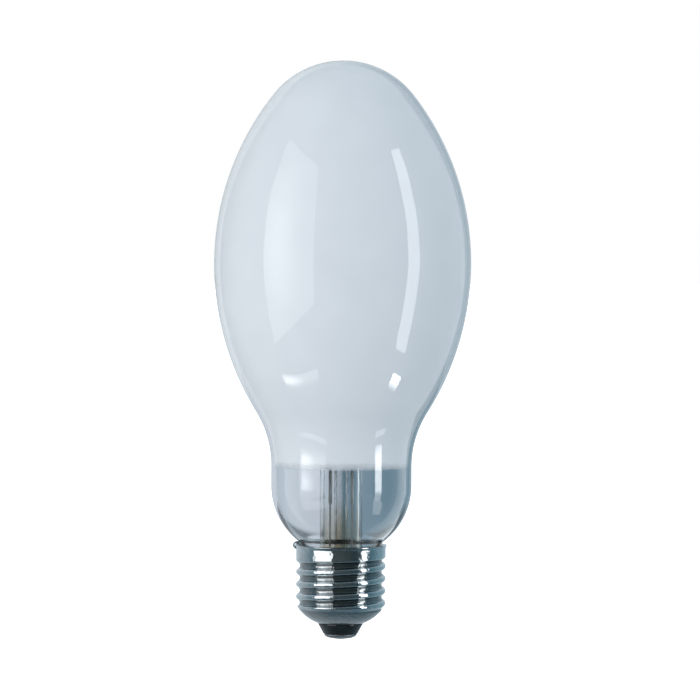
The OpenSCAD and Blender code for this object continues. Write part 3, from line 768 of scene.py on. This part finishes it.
def black_glass():
    """Black moulded glass, glossy, with small dull patches."""
    material, shader, node, link = finish_with("BlackGlass")
    patches = grain(node, link, 350, 0, 1)
    tone = toned(
        node, link, patches.outputs["Value"], [(0, (0.004, 0.006, 0.007)), (1, (0.014, 0.019, 0.021))])
    link(tone, shader.inputs["Base Color"])
    rough = grain(node, link, 500, 0.08, 0.22)
    link(rough.outputs["Value"], shader.inputs["Roughness"])
    bump(node, link, shader, rough.outputs["Height"], 0.05 * MM)
    return material


fill("insulator", black_glass())


# Centre contact
# An eyelet of thin pressed sheet, set in the foot of the insulator while the glass was soft, and dulled by
# handling.

fill("centre_contact", dull_metal("ContactSheet", (0.24, 0.25, 0.26), (0.46, 0.47, 0.48), 0.35, 0.6))


# Cap cement
# A ring of baked cement between the glass and the shell. Its grey brown top shows at the rim and through
# the clear glass of the neck.


def cement():
    """Coarse baked cement, grey brown, with pores."""
    material, shader, node, link = finish_with("BakedCement")
    patches = grain(node, link, 700, 0, 1)
    tone = toned(node, link, patches.outputs["Value"], [(0, (0.07, 0.065, 0.055)), (1, (0.2, 0.19, 0.165))])
    link(tone, shader.inputs["Base Color"])
    rough = grain(node, link, 1500, 0.75, 0.95)
    link(rough.outputs["Value"], shader.inputs["Roughness"])
    bump(node, link, shader, patches.outputs["Height"], 0.15 * MM)
    return material


fill("cap_cement", cement())


# Solder
# Tin solder, put on last: a lump that joins the left wire to the rim of the shell, and a fill in the
# eyelet round the end of the right wire.

SOLDER = dull_metal("TinSolder", (0.34, 0.38, 0.41), (0.58, 0.62, 0.65), 0.25, 0.42, 900, 0.12)
fill("side_solder", SOLDER)
fill("centre_solder", SOLDER)


# Floor and lights
# The lamp hangs clear of a wide pale floor. A large window of light stands at its left and a tall narrow
# one at its right. Smaller cards beside the neck and the cap light those, and show in reflections alone.

FLOOR_Z = -0.3
FLOOR_HALF = 12.0


def sheet(name, rows):
    """A sheet through rows of a left and a right point, whose UV map runs from 0 at the left to 1 at the
    right, and from 1 in the first row to 0 in the last. Left and right are as seen from behind it, when
    its first row is on top."""
    rows = np.asarray(rows, float)
    count = len(rows)
    quads = [(2 * i, 2 * i + 1, 2 * i + 3, 2 * i + 2) for i in range(count - 1)]
    mesh = bpy.data.meshes.new(name)
    mesh.from_pydata(rows.reshape(-1, 3).tolist(), [], quads)
    up = 1 - np.arange(count) / (count - 1)
    left, right = np.stack([0 * up, up], axis=1), np.stack([0 * up + 1, up], axis=1)
    places = np.stack([left, right], axis=1).reshape(-1, 2)[np.array(quads).reshape(-1)]
    mesh.uv_layers.new(name="UVMap").data.foreach_set("uv", places.reshape(-1).astype(np.float32))
    made = bpy.data.objects.new(name, mesh)
    bpy.context.collection.objects.link(made)
    return made


def pale_floor():
    """A pale matt floor with a faint grain, lifted so that it stays white under soft light."""
    material, shader, node, link = finish_with("PaleFloor")
    patches = grain(node, link, 3, 0, 1)
    tone = toned(node, link, patches.outputs["Value"], [(0, (0.88, 0.88, 0.88)), (1, (0.92, 0.92, 0.92))])
    link(tone, shader.inputs["Base Color"])
    shader.inputs["Roughness"].default_value = 0.9
    shader.inputs["Emission Color"].default_value = (1, 1, 1, 1)
    shader.inputs["Emission Strength"].default_value = 1.0
    return material


floor = sheet("Floor", [
    [(-FLOOR_HALF, y, FLOOR_Z), (FLOOR_HALF, y, FLOOR_Z)] for y in (-FLOOR_HALF, FLOOR_HALF)])
floor.data.materials.append(pale_floor())
floor.visible_glossy = False
floor.visible_diffuse = False
floor.visible_transmission = False


def upright(azimuth, distance, rows):
    """Points on an upright sheet that faces the axis, given as (left, its height, right, its height),
    in millimetres."""
    a = np.radians(azimuth)
    centre = np.array([np.sin(a), -np.cos(a)]) * distance
    side = np.array([np.cos(a), np.sin(a)])
    return [[(*(centre + side * u * MM), z * MM) for u, z in (row[:2], row[2:])] for row in rows]


SLOPE_TOP = 74


def sloping(azimuth, rows):
    """Points on a sheet that slopes down at 45 degrees, away from the neck, given as the distance from
    the neck and the left and right edge there, in millimetres. Its lit side faces down to the cap."""
    a = np.radians(azimuth)
    out = np.array([np.sin(a), -np.cos(a)])
    side = np.array([np.cos(a), np.sin(a)])
    middle = NECK_RADIUS * np.array([np.sin(a / 2), -np.cos(a / 2)])
    return [[(*(middle + (out * reach + side * u) * MM), (SLOPE_TOP - reach) * MM) for u in (left, right)]
            for reach, left, right in rows]


def glow(name, strength, edges, core=None, colour=(0.97, 0.98, 1.0)):
    """The light of a card: even, thinned out over a share of its left, right, low and top edges, with a
    brighter core at a place of its UV map. The card is see-through from behind."""
    material, _, node, link = finish_with(name)
    light = node("Emission")
    light.inputs["Color"].default_value = (*colour, 1)
    light.inputs["Strength"].default_value = strength
    place = node("UVMap")
    split = node("SeparateXYZ")
    link(place.outputs["UV"], split.inputs["Vector"])
    if core:
        (core_u, core_v), (size_u, size_v), boost = core
        shifted = node("Mapping", vector_type="TEXTURE")
        shifted.inputs["Location"].default_value = (core_u, core_v, 0)
        shifted.inputs["Scale"].default_value = (size_u, size_v, 1)
        length = node("VectorMath", operation="LENGTH")
        link(place.outputs["UV"], shifted.inputs["Vector"])
        link(shifted.outputs["Vector"], length.inputs[0])
        spot = ramp(node, link, length.outputs["Value"], 1, 0, strength, strength * boost)
        link(spot, light.inputs["Strength"])
    seen = node("NewGeometry")
    shown = ramp(node, link, seen.outputs["Backfacing"], 1, 0, kind="LINEAR")
    for axis, edge, share in zip("XXYY", (0, 1, 0, 1), edges, strict=True):
        if share:
            product = node("Math", operation="MULTIPLY")
            link(shown, product.inputs[0])
            link(ramp(node, link, split.outputs[axis], edge, abs(edge - share)), product.inputs[1])
            shown = product.outputs[0]
    clear = node("BsdfTransparent")
    mix = node("MixShader")
    link(shown, mix.inputs["Fac"])
    link(clear.outputs["BSDF"], mix.inputs[1])
    link(light.outputs["Emission"], mix.inputs[2])
    link(mix.outputs["Shader"], material.node_tree.nodes["Material Output"].inputs["Surface"])
    return material


def only_seen_in(card, glossy=False, transmission=False):
    """Keeps a card out of the picture and the plain lighting, but in reflections or through glass."""
    card.visible_camera = False
    card.visible_diffuse = False
    card.visible_shadow = False
    card.visible_glossy = glossy
    card.visible_transmission = transmission


CARDS = {
    "WindowCard": (
        upright(-50.5, 0.5, [
            (-267, 644, -248, 641), (-268, 570, 0, 581), (-252, 475, 200, 567), (-249, 363, 223, 429),
            (-232, 269, 232, 313), (-222, 186, 237, 210), (-218, 107, 239, 113), (-211, 29, 242, 18),
            (-199, -52, 241, -52), (-190, -142, 44, -108), (-197, -180, -172, -176)]),
        (1.36, (0.06, 0, 0, 0), ((0.33, 0.47), (0.5, 0.42), 2.55), (0.98, 0.985, 1.0))),
    "StripCard": (
        upright(74.5, 0.45, [
            (-90, 546, 10, 510), (-101, 515, -3, 472), (-111, 454, -2, 415), (-123, 351, -19, 325),
            (-122, 263, -24, 248), (-130, 167, -30, 160), (-129, 112, -30, 110), (-142, 38, -41, 44),
            (-151, -40, -49, -26), (-159, -131, -51, -105), (-145, -190, -39, -182)]),
        (4.4, (0.04, 0.04, 0.02, 0.04))),
    "CapStripCard": (
        sloping(62.4, [(50, -6.2, 12), (60, -5.8, 18), (80, -6.8, 27), (188, -1.2, 66)]),
        (2.7, (0.08, 0.15, 0.1, 0))),
    "CapWindowCard": (
        sloping(-48, [(50, -34, 26), (70, -48, 34), (110, -80, 50)]),
        (1.7, (0.3, 0, 0.1, 0))),
    "NeckWindowCard": (
        upright(-42, 0.062, [
            (-20.4, 48.5, 22.6, 48.5), (-20.2, 44, 22.8, 44), (-20.3, 40, 22.7, 40), (-21, 33, 22.5, 33)]),
        (2.0, (0.08, 0, 0.5, 0), ((0.2, 0.6), (0.5, 0.5), 4.0))),
    "NeckStripCard": (
        upright(67, 0.062, [
            (-21, 48.5, -9.3, 48.5), (-21, 44, -9.2, 44), (-20.9, 40, -9.1, 40), (-20.2, 33, -8.2, 33)]),
        (13.5, (0.05, 0.05, 0.5, 0))),
}
for card_name, (card_rows, card_light) in CARDS.items():
    card = sheet(card_name, card_rows)
    card.data.materials.append(glow(card_name.replace("Card", "Light"), *card_light))
    only_seen_in(card, glossy=True)


# What stands behind the lamp
# Two cards seen through the glass alone, one behind the clear neck and one behind the bulb. They are bright
# at the left and dark at the right, as the room behind the lamp is.

BACKDROP_Y = 70 * MM
BACKDROP_HALF = 90 * MM
TONES_HALF = 30 * MM
DARK_FOOT = 17 * MM
LIGHT_FOOT = 23 * MM
BACKDROPS = {
    "NeckBackdrop": (0.0, 0.056, [
        (0.2, (0.61, 0.655, 0.73)), (0.47, (0.58, 0.62, 0.70)), (0.62, (0.21, 0.30, 0.375)),
        (0.8, (0.14, 0.225, 0.29))]),
    "BulbBackdrop": (0.056, 0.22, [(0.0, (0.78, 0.82, 0.86)), (1.0, (0.38, 0.45, 0.51))]),
}


def backdrop_light(name, stops):
    """The light of a backdrop: it runs through the tones from left to right, and is dark at the foot."""
    material, _, node, link = finish_with(name)
    light = node("Emission")
    place = node("TexCoord")
    split = node("SeparateXYZ")
    link(place.outputs["Object"], split.inputs["Vector"])
    across = ramp(node, link, split.outputs["X"], -TONES_HALF, TONES_HALF, kind="LINEAR")
    link(toned(node, link, across, stops), light.inputs["Color"])
    low = ramp(node, link, split.outputs["Z"], DARK_FOOT, LIGHT_FOOT, 0.08, 1)
    link(low, light.inputs["Strength"])
    link(light.outputs["Emission"], material.node_tree.nodes["Material Output"].inputs["Surface"])
    return material


for card_name, (foot, head, card_stops) in BACKDROPS.items():
    card = sheet(card_name, [
        [(-BACKDROP_HALF, BACKDROP_Y, z), (BACKDROP_HALF, BACKDROP_Y, z)] for z in (head, foot)])
    card.data.materials.append(backdrop_light(card_name.replace("drop", "Light"), card_stops))
    only_seen_in(card, transmission=True)


# Soft lights and room
# Two large soft lights, one at the left and one in front, shape the matt coat. The room is plain white to
# the camera and blue grey in the glass and the metal.

BULB_MIDDLE = Vector((0, 0, 0.1))


def soft_light(name, azimuth, elevation, distance, size, power, colour):
    """A square area light that faces the middle of the bulb, left out of reflections."""
    lamp = bpy.data.lights.new(name, "AREA")
    lamp.shape, lamp.size, lamp.energy, lamp.color = "SQUARE", size, power, colour
    made = bpy.data.objects.new(name, lamp)
    a, e = np.radians(azimuth), np.radians(elevation)
    toward_light = Vector((np.sin(a) * np.cos(e), -np.cos(a) * np.cos(e), np.sin(e)))
    made.location = BULB_MIDDLE + distance * toward_light
    made.rotation_euler = toward_light.to_track_quat("Z", "Y").to_euler()
    bpy.context.collection.objects.link(made)
    made.visible_glossy = False
    made.visible_transmission = False
    made.visible_camera = False


soft_light("LeftFill", -88, -12, 1.2, 0.9, 4.6, (1.0, 0.97, 0.94))
soft_light("FrontFill", -3, 12, 1.6, 1.0, 9.0, (1.0, 1.0, 1.0))


def room():
    """The room: plain white to the camera, a pale glow for the plain light, and blue grey all round for
    reflections and for what shows through the glass, dark in front and below, bright behind."""
    world = bpy.data.worlds.new("Room")
    bpy.context.scene.world = world
    world.use_nodes = True
    world.node_tree.nodes.clear()
    node, link = workbench(world.node_tree)
    place = node("TexCoord")
    path = node("LightPath")

    def leaning(direction, reach, stops):
        """The tone for how far the view leans towards a direction, from -reach to reach."""
        lean = node("VectorMath", operation="DOT_PRODUCT")
        lean.inputs[1].default_value = direction
        link(place.outputs["Generated"], lean.inputs[0])
        share = ramp(node, link, lean.outputs["Value"], -reach, reach, kind="LINEAR")
        return toned(node, link, share, stops)

    def times(first, second):
        made = node("Mix", data_type="RGBA", blend_type="MULTIPLY")
        made.inputs["Factor"].default_value = 1
        link(first, made.inputs[6])
        link(second, made.inputs[7])
        return made.outputs[2]

    left, up, front = (-1, 0, 0), (0, 0, 1), (0, -1, 0)
    white, ambient, mirror, through = (node("Background") for _ in range(4))
    white.inputs["Color"].default_value = (1, 1, 1, 1)
    # Plain light: from the right to the left, and from below to above
    sideways = leaning(left, 1, [
        (0, (0.53, 0.585, 0.635)), (0.5, (0.69, 0.715, 0.755)), (1, (0.90, 0.89, 0.895))])
    upward = leaning(up, 1, [(0, (0.86, 0.87, 0.88)), (0.5, (1.0, 1.0, 1.0)), (1, (0.95, 0.95, 0.97))])
    link(times(sideways, upward), ambient.inputs["Color"])
    # Reflections: from behind to in front, from the right to the left, and from below to above
    around = leaning(front, 1, [
        (0, (0.75, 0.83, 0.88)), (0.3, (0.58, 0.67, 0.73)), (0.52, (0.27, 0.385, 0.45)),
        (0.72, (0.12, 0.17, 0.2)), (0.9, (0.07, 0.088, 0.09))])
    across = leaning(left, 0.8, [(0, (0.38, 0.53, 0.58)), (0.5, (0.95, 0.97, 1.0)), (1, (0.8, 0.8, 0.8))])
    height = leaning(up, 1, [(0, (0.8, 0.8, 0.8)), (0.28, (0.85, 0.85, 0.85)), (0.42, (1.0, 1.0, 1.0))])
    link(times(times(around, across), height), mirror.inputs["Color"])
    # Through the glass: from behind to in front, and from the right to the left
    beyond = leaning(front, 1, [
        (0.2, (0.8, 0.84, 0.87)), (0.5, (0.35, 0.42, 0.46)), (1, (0.05, 0.07, 0.08))])
    behind = leaning(left, 0.8, [(0, (1.5, 1.5, 1.5)), (0.5, (0.72, 0.78, 0.82)), (1, (0.2, 0.26, 0.3))])
    link(times(beyond, behind), through.inputs["Color"])
    leave = node("OutputWorld")
    chosen = mirror.outputs[0]
    choices = {"Is Transmission Ray": through, "Is Diffuse Ray": ambient, "Is Camera Ray": white}
    for flag, choice in choices.items():
        mix = node("MixShader")
        link(path.outputs[flag], mix.inputs["Fac"])
        link(chosen, mix.inputs[1])
        link(choice.outputs[0], mix.inputs[2])
        chosen = mix.outputs[0]
    link(chosen, leave.inputs["Surface"])


room()


# Camera
# It looks at the lamp from in front and a little above the middle of the bulb, with a long lens, and leans
# by a third of a degree. SCALE is the pixels to a metre at the lamp.

CAMERA_DISTANCE = 1.5
CAMERA_Z = 0.1545
AIM = Vector((2.3 * MM, 0, 84.7 * MM))
ROLL = np.radians(0.35)
SCALE = 3425.0
PICTURE = 700
SENSOR = 36

camera_data = bpy.data.cameras.new("Camera")
camera = bpy.data.objects.new("Camera", camera_data)
bpy.context.collection.objects.link(camera)
camera.location = (AIM.x, -CAMERA_DISTANCE, CAMERA_Z)
look = (AIM - camera.location).to_track_quat("-Z", "Y").to_matrix().to_4x4()
camera.rotation_euler = (look @ Matrix.Rotation(ROLL, 4, "Z")).to_euler()
camera_data.sensor_width = SENSOR
camera_data.lens = SENSOR * SCALE * (AIM - camera.location).length / PICTURE
camera_data.clip_start, camera_data.clip_end = 0.01, 100
bpy.context.scene.camera = camera
bpy.context.scene.view_settings.view_transform = "Standard"
